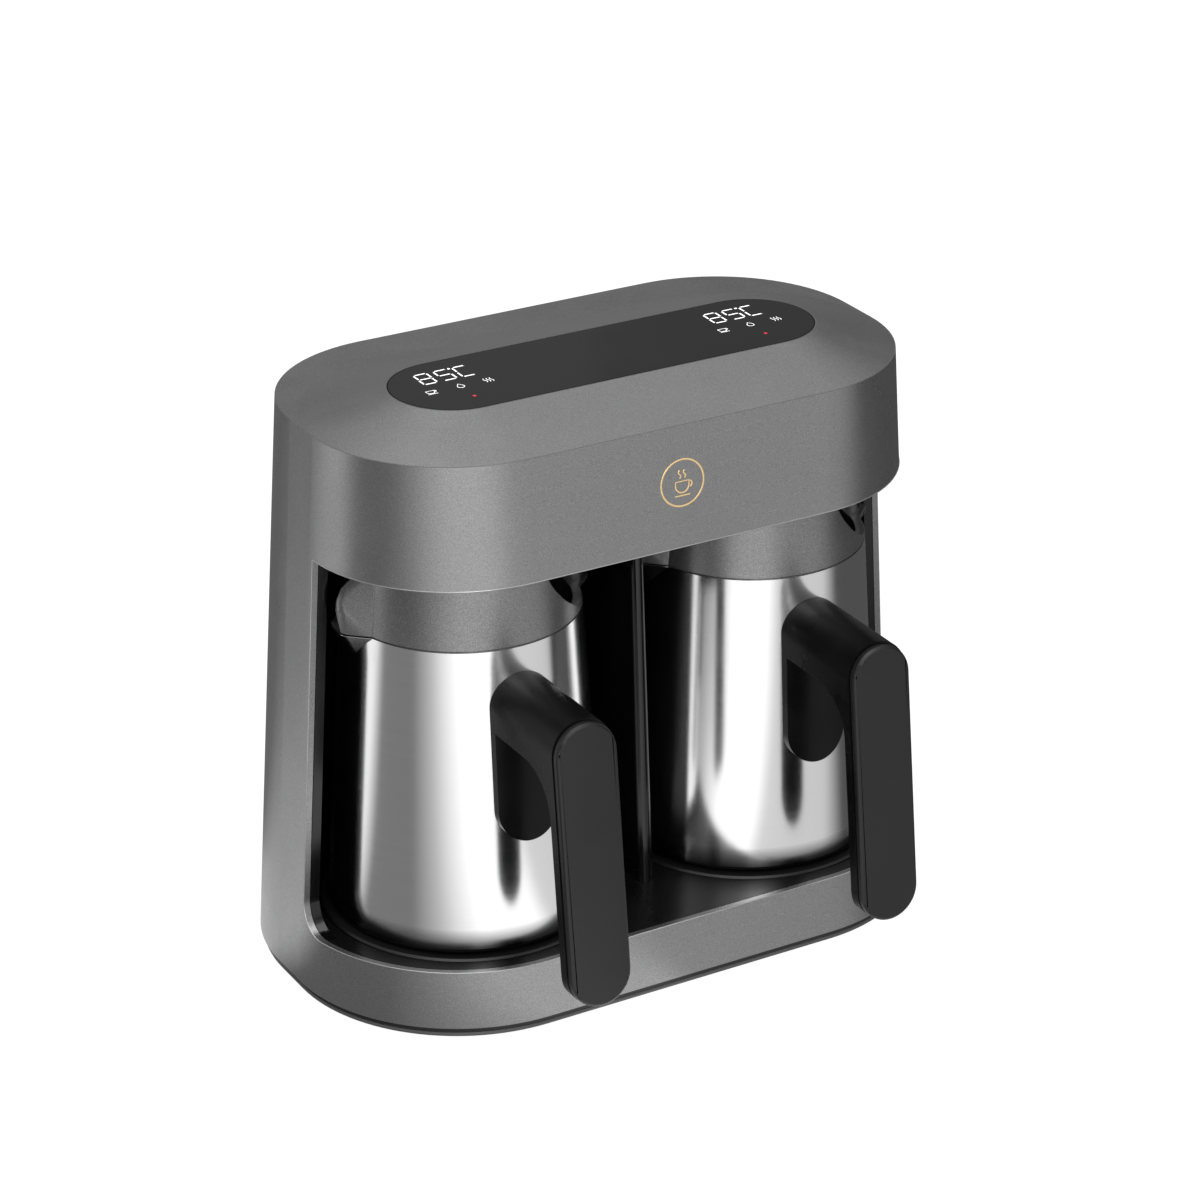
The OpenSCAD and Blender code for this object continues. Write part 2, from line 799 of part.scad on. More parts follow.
// Transformer, relays, capacitor and cord terminals on the supply board
module supply_parts() {
    board_y = bay_back + liner_wall + supply_stand + supply_t;
    middle_z = supply_z + supply_h / 2;
    relay_x = transformer_size.x + relay_gap;
    color("gold") in_body() translate([supply_side - supply_w / 2, board_y, 0]) {
        translate([0, 0, middle_z - transformer_size.z / 2]) cube(transformer_size);
        for (k = [0, 1])
            translate([relay_x + k * (relay_size.x + relay_gap), 0, middle_z])
                cube(relay_size);
        translate([relay_x + capacitor_r, 0, middle_z - relay_size.z]) rotate([-90, 0, 0])
            cylinder(r = capacitor_r, h = capacitor_l);
        translate([relay_x + relay_size.x, 0, supply_z + supply_edge])
            cube(terminal_block_size);
    }
}

module supply_board_screws() {
    color("silver") in_body() at_supply_screws()
        translate([0, supply_t, 0]) rotate([90, 0, 0])
            screw(supply_pilot_r - slip_gap / 2, supply_screw_l, supply_head_r, supply_head_h);
}

// Strain relief for the supply cord, snapped into the rear wall
module cord_gland() {
    color("black") in_body() at_gland() difference() {
        union() {
            cylinder(r = gland_flange_r, h = gland_flange_t);
            translate([0, 0, -gland_inner_l]) cylinder(r = gland_body_r, h = gland_inner_l);
            translate([0, 0, -shell_wall - lay_gap - gland_collar_t])
                cylinder(r = gland_collar_r, h = gland_collar_t);
        }
        translate([0, 0, -gland_inner_l - cut_over])
            cylinder(r = gland_bore_r, h = gland_inner_l + gland_flange_t + 2 * cut_over);
    }
}

// Sheet that closes the housing from below, with vents under both hot plates
module bottom_plate() {
    color("#181818") in_body() difference() {
        drafted_block(foot_h, housing_z, bottom_inset);
        at_base_screws() {
            translate([0, 0, -bottom_t - cut_over])
                cylinder(r = base_screw_r + slip_gap, h = bottom_t + 2 * cut_over);
            translate([0, 0, -bottom_t - cut_over])
                cylinder(r = base_head_r + slip_gap, h = base_head_h + cut_over);
        }
        at_feet() translate([0, 0, -cut_over])
            cylinder(r = foot_peg_r + slip_gap, h = housing_z + 2 * cut_over);
        for (s = [-1, 1], k = [0 : vent_count - 1])
            translate([s * pot_pitch / 2, -pot_y + (k - (vent_count - 1) / 2) * vent_pitch,
                       foot_h - cut_over])
                stadium(vent_w / 2, vent_l / 2, bottom_t + 2 * cut_over);
    }
}

module base_screws() {
    color("silver") in_body() at_base_screws()
        translate([0, 0, base_head_h - bottom_t])
            screw(base_screw_r, base_screw_l, base_head_r, base_head_h);
}

// Places of the four feet
module at_feet() {
    for (sx = [-1, 1], sy = [-1, 1]) translate([sx * foot_x, sy * foot_y, 0]) children();
}

// Rubber feet with a peg through the bottom plate
module rubber_feet() {
    color("#202020") in_body() at_feet() {
        cylinder(r = foot_r, h = foot_h);
        cylinder(r = foot_peg_r, h = foot_h + foot_peg_h);
    }
}

// Form of the steel cup, drawn in by a wall and raised by a lift, with a rounded foot
module cup_form(wall, lift, top_z) {
    foot_z = pot_shoulder_z + lift;
    foot_r = wall_r(foot_z) - wall;
    round_r = pot_foot_round - wall;
    rotate_extrude() {
        translate([0, foot_z - round_r]) square([foot_r - round_r, round_r]);
        translate([foot_r - round_r, foot_z]) intersection() {
            circle(round_r);
            translate([0, -round_r]) square([round_r, round_r]);
        }
        polygon([[0, foot_z], [foot_r, foot_z], [wall_r(top_z) - wall, top_z], [0, top_z]]);
    }
}

// Half of a spout: a rounded nose that grows out of the round wall, drawn in by a wall
module spout_slice(reach, wall_radius, wall) {
    root_x = sqrt(pow(wall_radius, 2) - pow(spout_root_w / 2, 2)) - wall;
    for (s = [-1, 1])
        translate([reach - spout_tip_r, s * spout_flat_w / 2, 0])
            cylinder(r = spout_tip_r - wall, h = slice_t, $fn = 32);
    translate([root_x - spout_tip_r, -spout_root_w / 2 + wall, 0])
        cube([spout_tip_r, spout_root_w - 2 * wall, slice_t]);
}

// Steel part of a spout, from its keel up to the seam
module spout_keel_form(top_z, wall) {
    keel_z = seam_z - spout_keel;
    hull() {
        translate([0, 0, top_z - slice_t]) spout_slice(spout_reach, pot_seam_r, wall);
        translate([wall_r(keel_z) - spout_tip_r - wall - keel_sink, 0, keel_z])
            cylinder(r = spout_tip_r, h = slice_t, $fn = 32);
    }
}

// Moulded part of a spout, from the seam up to the rim
module spout_crest_form(low_z, top_z, wall) {
    crest_h = rim_z - seam_z;
    knots = [for (share = nose_rise_shares)
        if (seam_z + share * crest_h > low_z && share < 1) seam_z + share * crest_h];
    hull()
        for (z = concat([low_z], knots, [top_z - slice_t]))
            translate([0, 0, z]) spout_slice(nose_reach(z), wall_r(z), wall);
}

// Steel cup with two opposite spouts and a recess for the base disc
module pot(side) {
    recess_r = pot_foot_r - pot_foot_round - pot_foot_ring;
    color("silver") in_bay(side) difference() {
        union() {
            cup_form(0, 0, seam_z);
            for (turn = [0, 180]) rotate([0, 0, turn]) spout_keel_form(seam_z, 0);
        }
        cup_form(steel_wall, base_disc_t, seam_z + cut_over);
        for (turn = [0, 180])
            rotate([0, 0, turn]) spout_keel_form(seam_z + cut_over, steel_wall);
        translate([0, 0, pot_z - cut_over])
            cylinder(r = recess_r, h = base_disc_t - steel_wall + cut_over);
    }
}

module left_pot() { pot(-1); }

module right_pot() { pot(1); }

// Cut that lets the rim sweep down to a pouring edge beside each spout
module pouring_notch() {
    reach = spout_reach + cut_over;
    top_z = lip_z + sweep_r;
    rotate([0, 0, -notch_turn]) rotate([90, 0, 90])
        linear_extrude(reach)
            polygon(concat(
                [for (k = [0 : arc_steps])
                    [-sweep_x - sweep_r * cos(90 * k / arc_steps),
                     top_z - sweep_r * sin(90 * k / arc_steps)]],
                [[notch_x, lip_z], [notch_x, top_z]]));
}

// Moulded collar plugged into the steel cup, with its rim swept down at both spouts
module pot_collar(side) {
    low_z = seam_z + seam_gap;
    bore_r = wall_r(rim_z) - collar_wall;
    spigot_r = pot_seam_r - steel_wall - slip_gap;
    color("dimgray") in_bay(side) difference() {
        union() {
            translate([0, 0, low_z])
                cylinder(r1 = wall_r(low_z), r2 = wall_r(rim_z), h = rim_z - low_z);
            for (turn = [0, 180]) rotate([0, 0, turn]) spout_crest_form(low_z, rim_z, 0);
            translate([0, 0, seam_z - spigot_h])
                cylinder(r = spigot_r, h = spigot_h + seam_gap + slice_t);
        }
        translate([0, 0, seam_z - spigot_h - cut_over])
            cylinder(r = bore_r, h = rim_rise);
        for (turn = [0, 180])
            rotate([0, 0, turn]) {
                spout_crest_form(lip_z - lip_groove, rim_z + cut_over, collar_wall);
                pouring_notch();
            }
    }
}

module left_pot_collar() { pot_collar(-1); }

module right_pot_collar() { pot_collar(1); }

// Thick disc in the foot of the pot that spreads the heat
module base_disc(side) {
    recess_r = pot_foot_r - pot_foot_round - pot_foot_ring;
    color("darkgray") in_bay(side) translate([0, 0, pot_z])
        cylinder(r = recess_r - slip_gap, h = base_disc_t - steel_wall - slip_gap);
}

module left_base_disc() { base_disc(-1); }

module right_base_disc() { base_disc(1); }

// Frame of the grip: origin on the cover's face at the arm's axis, +Y into the pot, +Z up
module at_grip() {
    translate([0, -grip_reach, arm_z]) rotate([-grip_lean, 0, 0]) children();
}

// Upright round-ended block of the grip between two depths behind the cover's face
module grip_form(half_w, front, back) {
    for (z = [0, -grip_len])
        translate([0, back, z]) rotate([90, 0, 0]) cylinder(r = half_w, h = back - front);
    translate([-half_w, front, -grip_len]) cube([2 * half_w, back - front, grip_len]);
}

// Round-ended block whose outline grows to the half width over the bevel
module grip_bevel_form(half_w, bevel, front) {
    front_w = half_w - bevel + front;
    for (z = [0, -grip_len])
        translate([0, bevel, z]) rotate([90, 0, 0])
            cylinder(r1 = half_w, r2 = front_w, h = bevel - front);
    translate([0, 0, -grip_len])
        linear_extrude(grip_len)
            polygon([[-front_w, front], [front_w, front], [half_w, bevel], [-half_w, bevel]]);
}

// Long drum whose side touches the given depth and falls back by the crown at the half width
module crown_drum(half_w, crown, depth, from_back) {
    r = (pow(half_w, 2) + pow(crown, 2)) / (2 * crown);
    translate([0, depth + (from_back ? -r : r), -grip_len - 2 * half_w])
        cylinder(r = r, h = grip_len + 4 * half_w, $fn = drum_fn);
}

// Upright round-ended outline of the handle, seen from the front, drawn out along Y
module handle_outline(half_w) {
    low_z = tray_z + grip_low_rise;
    for (z = [low_z, arm_z])
        translate([0, 0, z]) rotate([90, 0, 0])
            cylinder(r = half_w, h = grip_reach + 2 * half_w);
    translate([-half_w, -grip_reach - 2 * half_w, low_z])
        cube([2 * half_w, grip_reach + 2 * half_w, arm_z - low_z]);
}

// Side view of the arm with the concave fillet that runs down into the grip
module arm_profile() {
    under_z = arm_z - arm_under;
    centre_z = under_z - arm_fillet;
    centre_y = -grip_reach + (grip_side + arm_fillet
               + (centre_z - arm_z) * sin(grip_lean)) / cos(grip_lean);
    top_z = arm_z + 2 * handle_half_w;
    front = -grip_reach - 2 * handle_half_w;
    polygon(concat(
        [[0, under_z], [0, top_z], [front, top_z],
         [front, centre_z + arm_fillet * sin(grip_lean)]],
        [for (k = [0 : arc_steps])
            let (a = 180 - grip_lean - (90 - grip_lean) * k / arc_steps)
                [centre_y + arm_fillet * cos(a), centre_z + arm_fillet * sin(a)]]));
}

// Handle moulding: arm, grip and the pad that hugs the steel wall
module handle(side) {
    back = grip_side + grip_crown;
    color("#1c1c1c") in_bay(side) difference() {
        union() {
            intersection() {
                handle_outline(handle_half_w);
                rotate([90, 0, 90])
                    linear_extrude(4 * handle_half_w, center = true) arm_profile();
                at_grip() grip_slab(grip_split, grip_reach);
            }
            intersection() {
                handle_outline(handle_half_w);
                at_grip() grip_slab(grip_split, back + cut_over);
                at_grip() crown_drum(handle_half_w, grip_crown, back, true);
            }
            pad_form();
        }
        translate([0, 0, pot_shoulder_z])
            cylinder(r1 = pot_foot_r + slip_gap, r2 = pot_seam_r + slip_gap,
                     h = seam_z - pot_shoulder_z);
        translate([0, 0, arm_z]) rotate([90, 0, 0]) {
            cylinder(r = stud_r + slip_gap, h = pot_foot_r + stud_l);
            cylinder(r = handle_screw_r + slip_gap, h = grip_reach);
            translate([0, 0, grip_reach - grip_split - handle_head_sink])
                cylinder(r = handle_head_r + slip_gap, h = grip_reach);
        }
        at_grip() at_cover_pegs()
            cylinder(r = cover_peg_r + slip_gap, h = cover_peg_h + cover_gap + cut_over);
    }
}

// Leaning slab between two depths behind the cover's face
module grip_slab(front, back) {
    span = grip_len + 4 * handle_half_w;
    translate([-2 * handle_half_w, front, 2 * handle_half_w - span])
        cube([4 * handle_half_w, back - front, span]);
}

// Pad of the handle: a round-ended patch of even thickness on the steel wall
module pad_form() {
    intersection() {
        translate([0, 0, pot_shoulder_z])
            cylinder(r1 = pot_foot_r + pad_t, r2 = pot_seam_r + pad_t,
                     h = seam_z - pot_shoulder_z);
        union() {
            translate([0, 0, arm_z - pad_drop]) rotate([90, 0, 0])
                cylinder(r = handle_half_w, h = grip_reach);
            translate([-handle_half_w, -grip_reach, arm_z - pad_drop])
                cube([2 * handle_half_w, grip_reach, pad_drop]);
        }
    }
}

// Places of the cover's pegs, with +Z pointing from the cover into the grip
module at_cover_pegs() {
    for (share = cover_peg_shares)
        translate([0, cover_t, -grip_len * share]) rotate([-90, 0, 0]) children();
}

module left_handle() { handle(-1); }

module right_handle() { handle(1); }

// Front cover of the grip, softly crowned, with two pegs on its back
module handle_cover(side) {
    color("#242424") in_bay(side) at_grip() {
        intersection() {
            union() {
                grip_bevel_form(cover_half_w, cover_bevel, -cover_crown);
                grip_form(cover_half_w, cover_bevel, cover_t);
            }
            crown_drum(cover_half_w, cover_crown, 0, false);
        }
        at_cover_pegs() cylinder(r = cover_peg_r, h = cover_peg_h);
    }
}

module left_handle_cover() { handle_cover(-1); }

module right_handle_cover() { handle_cover(1); }

// Threaded stud on the steel wall that carries the handle
module handle_stud(side) {
    color("silver") in_bay(side) difference() {
        translate([0, 0, arm_z]) rotate([90, 0, 0]) difference() {
            cylinder(r = stud_r, h = wall_r(arm_z) + stud_l);
            translate([0, 0, wall_r(arm_z)])
                cylinder(r = handle_screw_r + slip_gap, h = stud_l + cut_over);
        }
        translate([0, 0, pot_shoulder_z])
            cylinder(r1 = pot_foot_r, r2 = pot_seam_r, h = seam_z - pot_shoulder_z);
    }
}

module left_handle_stud() { handle_stud(-1); }

module right_handle_stud() { handle_stud(1); }

// Long screw from the front of the grip through the arm into the stud
module handle_screw(side) {
    head_y = grip_reach - grip_split - handle_head_sink;
    shaft_l = head_y - wall_r(arm_z) - steel_wall;
    color("silver") in_bay(side)
        translate([0, -head_y, arm_z]) rotate([-90, 0, 0])
            screw(handle_screw_r, shaft_l, handle_head_r, handle_head_h);
}

module left_handle_screw() { handle_screw(-1); }

module right_handle_screw() { handle_screw(1); }

outer_housing();
front_badge();
control_glass();
left_display();
right_display();
indicator_lamps();
touch_springs();
touch_board();
touch_board_screws();
hood_panel();
left_level_sensor();
right_level_sensor();
bay_liner();
bay_divider();
base_tray();
left_hot_plate();
right_hot_plate();
left_heating_element();
right_heating_element();
left_heat_sensor();
right_heat_sensor();
supply_board();
supply_parts();
supply_board_screws();
cord_gland();
bottom_plate();
base_screws();
rubber_feet();
left_pot();
left_pot_collar();
left_base_disc();
left_handle();
left_handle_cover();
left_handle_stud();
left_handle_screw();
right_pot();
right_pot_collar();
right_base_disc();
right_handle();
right_handle_cover();
right_handle_stud();
right_handle_screw();
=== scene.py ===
import math
import bpy
import bmesh
from mathutils import Matrix, Vector


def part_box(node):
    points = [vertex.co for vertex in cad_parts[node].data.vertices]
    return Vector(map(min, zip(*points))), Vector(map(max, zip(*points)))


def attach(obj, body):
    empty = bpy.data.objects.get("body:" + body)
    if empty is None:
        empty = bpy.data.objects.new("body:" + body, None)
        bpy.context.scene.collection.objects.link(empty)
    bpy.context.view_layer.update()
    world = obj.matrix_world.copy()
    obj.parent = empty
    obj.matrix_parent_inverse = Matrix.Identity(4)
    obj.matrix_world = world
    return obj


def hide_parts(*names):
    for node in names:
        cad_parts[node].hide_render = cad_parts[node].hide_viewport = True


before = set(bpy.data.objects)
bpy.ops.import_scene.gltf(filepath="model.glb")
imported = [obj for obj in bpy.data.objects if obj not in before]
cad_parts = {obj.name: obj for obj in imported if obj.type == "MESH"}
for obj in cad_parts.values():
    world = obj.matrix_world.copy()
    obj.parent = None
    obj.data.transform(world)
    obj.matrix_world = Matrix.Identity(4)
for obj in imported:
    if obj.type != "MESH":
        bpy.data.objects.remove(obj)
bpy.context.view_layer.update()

MM = 0.001

# ---------------------------------------------------------------- places on the frame, in metres
GLASS_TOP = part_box("control_glass")[1].z
POT_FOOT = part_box("left_pot")[0].z
HOOD_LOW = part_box("hood_panel")[0].z
# Depth up to which a handle's front part reaches, round the seat of its cover
GRIP_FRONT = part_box("left_handle")[0].y + 5 * MM

# The housing's outline is a straight-sided core with a round wall about it that leans inwards
HOUSING_LOW, HOUSING_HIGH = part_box("outer_housing")
DRAFT = math.radians(3.44)
SIDE_FLAT = 19.4 * MM
MID_Y = (HOUSING_LOW.y + HOUSING_HIGH.y) / 2
CORE_Y = SIDE_FLAT / 2
FOOT_R = HOUSING_HIGH.y - MID_Y - CORE_Y
CORE_X = HOUSING_HIGH.x - FOOT_R


# ---------------------------------------------------------------- node helpers
def feed(tree, value, socket):
    """Links another node's output to a socket, or gives the socket a plain value."""
    if isinstance(value, bpy.types.NodeSocket):
        tree.links.new(value, socket)
    else:
        socket.default_value = value


def own_place(tree):
    """The piece's own coordinates."""
    return tree.nodes.new("ShaderNodeTexCoord").outputs["Object"]


def noise(tree, vector, scale, detail, rough=0.5):
    """Noise texture at the places that vector gives."""
    n = tree.nodes.new("ShaderNodeTexNoise")
    for key, value in (("Vector", vector), ("Scale", scale), ("Detail", detail), ("Roughness", rough)):
        feed(tree, value, n.inputs[key])
    return n.outputs["Fac"]


def remap(tree, value, span, to_low, to_high):
    """Value's span carried over to another range, and held inside it."""
    n = tree.nodes.new("ShaderNodeMapRange")
    n.clamp = True
    for key, v in (("Value", value), ("From Min", span[0]), ("From Max", span[1]),
                   ("To Min", to_low), ("To Max", to_high)):
        feed(tree, v, n.inputs[key])
    return n.outputs["Result"]


def math_node(tree, operation, a, b):
    """One sum of two values."""
    n = tree.nodes.new("ShaderNodeMath")
    n.operation = operation
    feed(tree, a, n.inputs[0])
    feed(tree, b, n.inputs[1])
    return n.outputs[0]


def scaled(tree, color, share):
    """Colour times a share that changes over the surface."""
    n = tree.nodes.new("ShaderNodeVectorMath")
    n.operation = "SCALE"
    feed(tree, color, n.inputs[0])
    feed(tree, share, n.inputs["Scale"])
    return n.outputs[0]


def finish_group(name, color, roughness, extras):
    """Empty shader node group that turns a colour, a roughness and extras into a finish."""
    group = bpy.data.node_groups.new(name, "ShaderNodeTree")
    inputs = [("Color", "NodeSocketColor", (*color, 1)), ("Roughness", "NodeSocketFloat", roughness)]
    inputs += [(key, "NodeSocketFloat", value) for key, value in extras]
    for key, kind, value in inputs:
        group.interface.new_socket(key, in_out="INPUT", socket_type=kind).default_value = value
    for key, kind in (("Color", "NodeSocketColor"), ("Roughness", "NodeSocketFloat"),
                      ("Height", "NodeSocketFloat")):
        group.interface.new_socket(key, in_out="OUTPUT", socket_type=kind)
    return group, group.nodes.new("NodeGroupInput").outputs, group.nodes.new("NodeGroupOutput").inputs


# ---------------------------------------------------------------- shared effects
# Spans of a noise texture's values that the patterns spread out
EVEN = (0.3, 0.7)
WORN = (0.3, 0.75)
PATCHY = (0.35, 0.7)


def flake_group():
    """Metallic paint: fine light and dark flakes over a slow cloud of tone."""
    cloud_scale, cloud_depth = 14, 0.03
    wear_scale, wear_down, wear_up = 60, -0.04, 0.05
    g, given, out = finish_group("paint_flakes", (0.2, 0.2, 0.2), 0.4,
                                 (("Size", 2600.0), ("Contrast", 0.3)))
    co = own_place(g)
    fine = noise(g, co, given["Size"], 2, rough=0.65)
    spread = math_node(g, "MULTIPLY", remap(g, fine, EVEN, -1.0, 1.0), given["Contrast"])
    cloud = remap(g, noise(g, co, cloud_scale, 2), EVEN, -cloud_depth, cloud_depth)
    shade = math_node(g, "ADD", math_node(g, "ADD", spread, cloud), 1.0)
    feed(g, scaled(g, given["Color"], shade), out["Color"])
    wear = remap(g, noise(g, co, wear_scale, 3), WORN, wear_down, wear_up)
    feed(g, math_node(g, "ADD", given["Roughness"], wear), out["Roughness"])
    feed(g, fine, out["Height"])
    return g


def grain_group():
    """Moulded plastic: fine spark-eroded grain with slow smudges from handling."""
    smudge_scale, smudge_tone = 35, 0.08
    g, given, out = finish_group("moulded_grain", (0.03, 0.03, 0.03), 0.4,
                                 (("Size", 2200.0), ("Smudge", 0.08)))
    co = own_place(g)
    cell = g.nodes.new("ShaderNodeTexVoronoi")
    feed(g, co, cell.inputs["Vector"])
    feed(g, given["Size"], cell.inputs["Scale"])
    slow = remap(g, noise(g, co, smudge_scale, 4), PATCHY, -1.0, 1.0)
    smudge = math_node(g, "MULTIPLY", slow, given["Smudge"])
    feed(g, math_node(g, "ADD", given["Roughness"], smudge), out["Roughness"])
    shade = math_node(g, "ADD", math_node(g, "MULTIPLY", slow, smudge_tone), 1.0)
    feed(g, scaled(g, given["Color"], shade), out["Color"])
    feed(g, cell.outputs["Distance"], out["Height"])
    return g


def polish_and_foot_shade_group():
    """Polished steel: faint lines round the wall, a slow haze, and painted shade that darkens the wall
    at its foot.
    """
    line_stretch = (0.02, 0.02, 1.0)
    haze_scale, haze_down, haze_up = 25, -0.012, 0.03
    line_down, line_up, line_tone = -0.01, 0.02, 0.975
    # Share of the colour left at the foot under the painted shade, and the curve of its fade
    foot_share, foot_power = 0.03, 1.6
    g, given, out = finish_group("polish_lines_and_painted_foot_shade", (0.9, 0.9, 0.9), 0.08,
                                 (("Line density", 1500.0), ("Shade foot", -1.0), ("Shade top", -0.9)))
    co = own_place(g)
    flat = g.nodes.new("ShaderNodeMapping")
    flat.inputs["Scale"].default_value = line_stretch
    feed(g, co, flat.inputs["Vector"])
    lines = noise(g, flat.outputs[0], given["Line density"], 3)
    haze = remap(g, noise(g, co, haze_scale, 3), PATCHY, haze_down, haze_up)
    fine = remap(g, lines, EVEN, line_down, line_up)
    feed(g, math_node(g, "ADD", given["Roughness"], math_node(g, "ADD", haze, fine)), out["Roughness"])
    # Painted shade: from Shade top down to Shade foot the colour darkens, standing in for the dark tray
    # mirrored in the wall
    split = g.nodes.new("ShaderNodeSeparateXYZ")
    feed(g, co, split.inputs[0])
    painted_foot_shade = remap(g, split.outputs["Z"], (given["Shade foot"], given["Shade top"]), 0.0, 1.0)
    painted_foot_shade = remap(g, math_node(g, "POWER", painted_foot_shade, foot_power), (0.0, 1.0), foot_share, 1.0)
    shade = math_node(g, "MULTIPLY", remap(g, lines, EVEN, line_tone, 1.0), painted_foot_shade)
    feed(g, scaled(g, given["Color"], shade), out["Color"])
    feed(g, lines, out["Height"])
    return g


GROUPS = {"flakes": flake_group(), "grain": grain_group(), "polish": polish_and_foot_shade_group()}


# ---------------------------------------------------------------- materials
# Depth of a pattern's relief where bump is 1
RELIEF = 0.5 * MM


def finish(name, group, color, roughness, metallic=0.0, bump=0.02, ior=1.5, **values):
    """Material whose colour, roughness and relief come from one of the shared groups."""
    m = bpy.data.materials.new(name)
    m.use_nodes = True
    t = m.node_tree
    shader = t.nodes["Principled BSDF"].inputs
    shader["Metallic"].default_value = metallic
    shader["IOR"].default_value = ior
    effect = t.nodes.new("ShaderNodeGroup")
    effect.node_tree = GROUPS[group]
    effect.inputs["Color"].default_value = (*color, 1)
    effect.inputs["Roughness"].default_value = roughness
    for key, value in values.items():
        effect.inputs[key.replace("_", " ")].default_value = value
    feed(t, effect.outputs["Color"], shader["Base Color"])
    feed(t, effect.outputs["Roughness"], shader["Roughness"])
    relief = t.nodes.new("ShaderNodeBump")
    relief.inputs["Strength"].default_value = bump
    relief.inputs["Distance"].default_value = RELIEF
    feed(t, effect.outputs["Height"], relief.inputs["Height"])
    feed(t, relief.outputs["Normal"], shader["Normal"])
    return m


def lit(name, color, strength):
    """Printed or lit mark that glows, a little uneven as a lamp behind glass is."""
    rough, speckle_scale, speckle_low = 0.4, 900, 0.9
    m = bpy.data.materials.new(name)
    m.use_nodes = True
    t = m.node_tree
    shader = t.nodes["Principled BSDF"].inputs
    shader["Base Color"].default_value = (*color, 1)
    shader["Roughness"].default_value = rough
    shader["Emission Strength"].default_value = strength
    shade = remap(t, noise(t, own_place(t), speckle_scale, 2), EVEN, speckle_low, 1.0)
    feed(t, scaled(t, color, shade), shader["Emission Color"])
    return m


def grey(level):
    """Colour with the same level of red, green and blue."""
    return (level, level, level)


PAINT = finish("metallic_grey_paint", "flakes", (0.3, 0.3, 0.302), 0.3, metallic=0.85,
               bump=0.05, Contrast=0.26)
# Lighter copy of the housing paint for the edge line: a painted highlight along the bay opening
GLINT_PAINT = finish("painted_edge_highlight", "flakes", grey(0.5), 0.3, metallic=0.8, bump=0.02, Contrast=0.1)
SKIRT = finish("skirt_plastic", "grain", grey(0.09), 0.45, bump=0.03)
COLLAR_PAINT = finish("collar_grey_paint", "flakes", (0.27, 0.27, 0.272), 0.32, metallic=0.85,
                      bump=0.08, Contrast=0.38)
# Pot steel, with painted shade that darkens its colour over the lowest 11 mm above the foot
STEEL = finish("mirror_steel", "polish", grey(0.93), 0.15, metallic=1.0, bump=0.004,
               Shade_foot=POT_FOOT + 0.5 * MM, Shade_top=POT_FOOT + 11 * MM)
BLACK_GLOSS = finish("black_gloss_plastic", "grain", grey(0.003), 0.16, bump=0.01, Smudge=0.03)
TRAY_BLACK = finish("tray_black_plastic", "grain", grey(0.004), 0.3, bump=0.03, Smudge=0.04)
HANDLE_BLACK = finish("handle_black_plastic", "grain", grey(0.004), 0.3, bump=0.05, ior=1.28)
COVER_BLACK = finish("handle_cover_plastic", "grain", grey(0.012), 0.4, bump=0.06, ior=1.42)
PANEL_GLASS = finish("panel_glass", "grain", grey(0.009), 0.09, bump=0.0, Smudge=0.03)
GOLD = finish("gold_badge", "flakes", (0.95, 0.68, 0.33), 0.3, metallic=0.6, bump=0.02, Contrast=0.05)
RUBBER = finish("foot_rubber", "grain", grey(0.02), 0.7, bump=0.1)
PLATE_STEEL = finish("plate_steel", "polish", (0.3, 0.3, 0.31), 0.28, metallic=1.0, bump=0.02)
PLATE_COAT = finish("plate_black_coat", "grain", grey(0.006), 0.42, bump=0.06, Smudge=0.04)
ZINC = finish("zinc_plated", "polish", (0.6, 0.6, 0.58), 0.3, metallic=1.0, bump=0.02)
ELEMENT = finish("element_sheath", "flakes", (0.12, 0.08, 0.06), 0.5, metallic=0.8, bump=0.1)
BOARD = finish("green_board", "grain", (0.02, 0.11, 0.05), 0.35, bump=0.02)
PARTS = finish("component_plastic", "grain", (0.45, 0.33, 0.08), 0.45, bump=0.05)
DARK_PLATE = finish("bottom_black_plastic", "grain", grey(0.012), 0.5, bump=0.08)
SENSOR = finish("sensor_plastic", "grain", (0.03, 0.035, 0.05), 0.25, bump=0.02)
WHITE_LIT = lit("white_digits", grey(1.0), 0.95)
RED_LIT = lit("red_lamp", (0.7, 0.03, 0.05), 0.45)
DISPLAY_BODY = finish("display_body", "grain", grey(0.35), 0.5, bump=0.02)

# Finish of each CAD node
LOOKS = {
    "outer_housing": PAINT, "front_badge": GOLD, "control_glass": PANEL_GLASS,
    "left_display": DISPLAY_BODY, "right_display": DISPLAY_BODY, "indicator_lamps": RED_LIT,
    "touch_springs": ZINC, "touch_board": BOARD, "touch_board_screws": ZINC,
    "hood_panel": BLACK_GLOSS, "left_level_sensor": SENSOR, "right_level_sensor": SENSOR,
    "bay_liner": BLACK_GLOSS, "bay_divider": BLACK_GLOSS, "base_tray": TRAY_BLACK,
    "left_hot_plate": PLATE_COAT, "right_hot_plate": PLATE_COAT,
    "left_heating_element": ELEMENT, "right_heating_element": ELEMENT,
    "left_heat_sensor": ZINC, "right_heat_sensor": ZINC, "supply_board": BOARD,
    "supply_parts": PARTS, "supply_board_screws": ZINC, "cord_gland": HANDLE_BLACK,
    "bottom_plate": DARK_PLATE, "base_screws": ZINC, "rubber_feet": RUBBER,
}
for side in ("left", "right"):
    LOOKS.update({
        side + "_pot": STEEL, side + "_pot_collar": COLLAR_PAINT, side + "_base_disc": PLATE_STEEL,
        side + "_handle": HANDLE_BLACK, side + "_handle_cover": COVER_BLACK,
        side + "_handle_stud": ZINC, side + "_handle_screw": ZINC,
    })
for name, look in LOOKS.items():
    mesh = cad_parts[name].data
    mesh.materials.clear()
    mesh.materials.append(look)


# ---------------------------------------------------------------- camera
# Camera of the photograph, fitted to the outlines of the housing and the pots
CAMERA_PLACE = (-0.7050, -1.2059, 0.8011)
CAMERA_TILT = 64.843
CAMERA_TURN = -30.042
CAMERA_LENS = 116.07
CAMERA_SENSOR = 36
CAMERA_REACH = 20


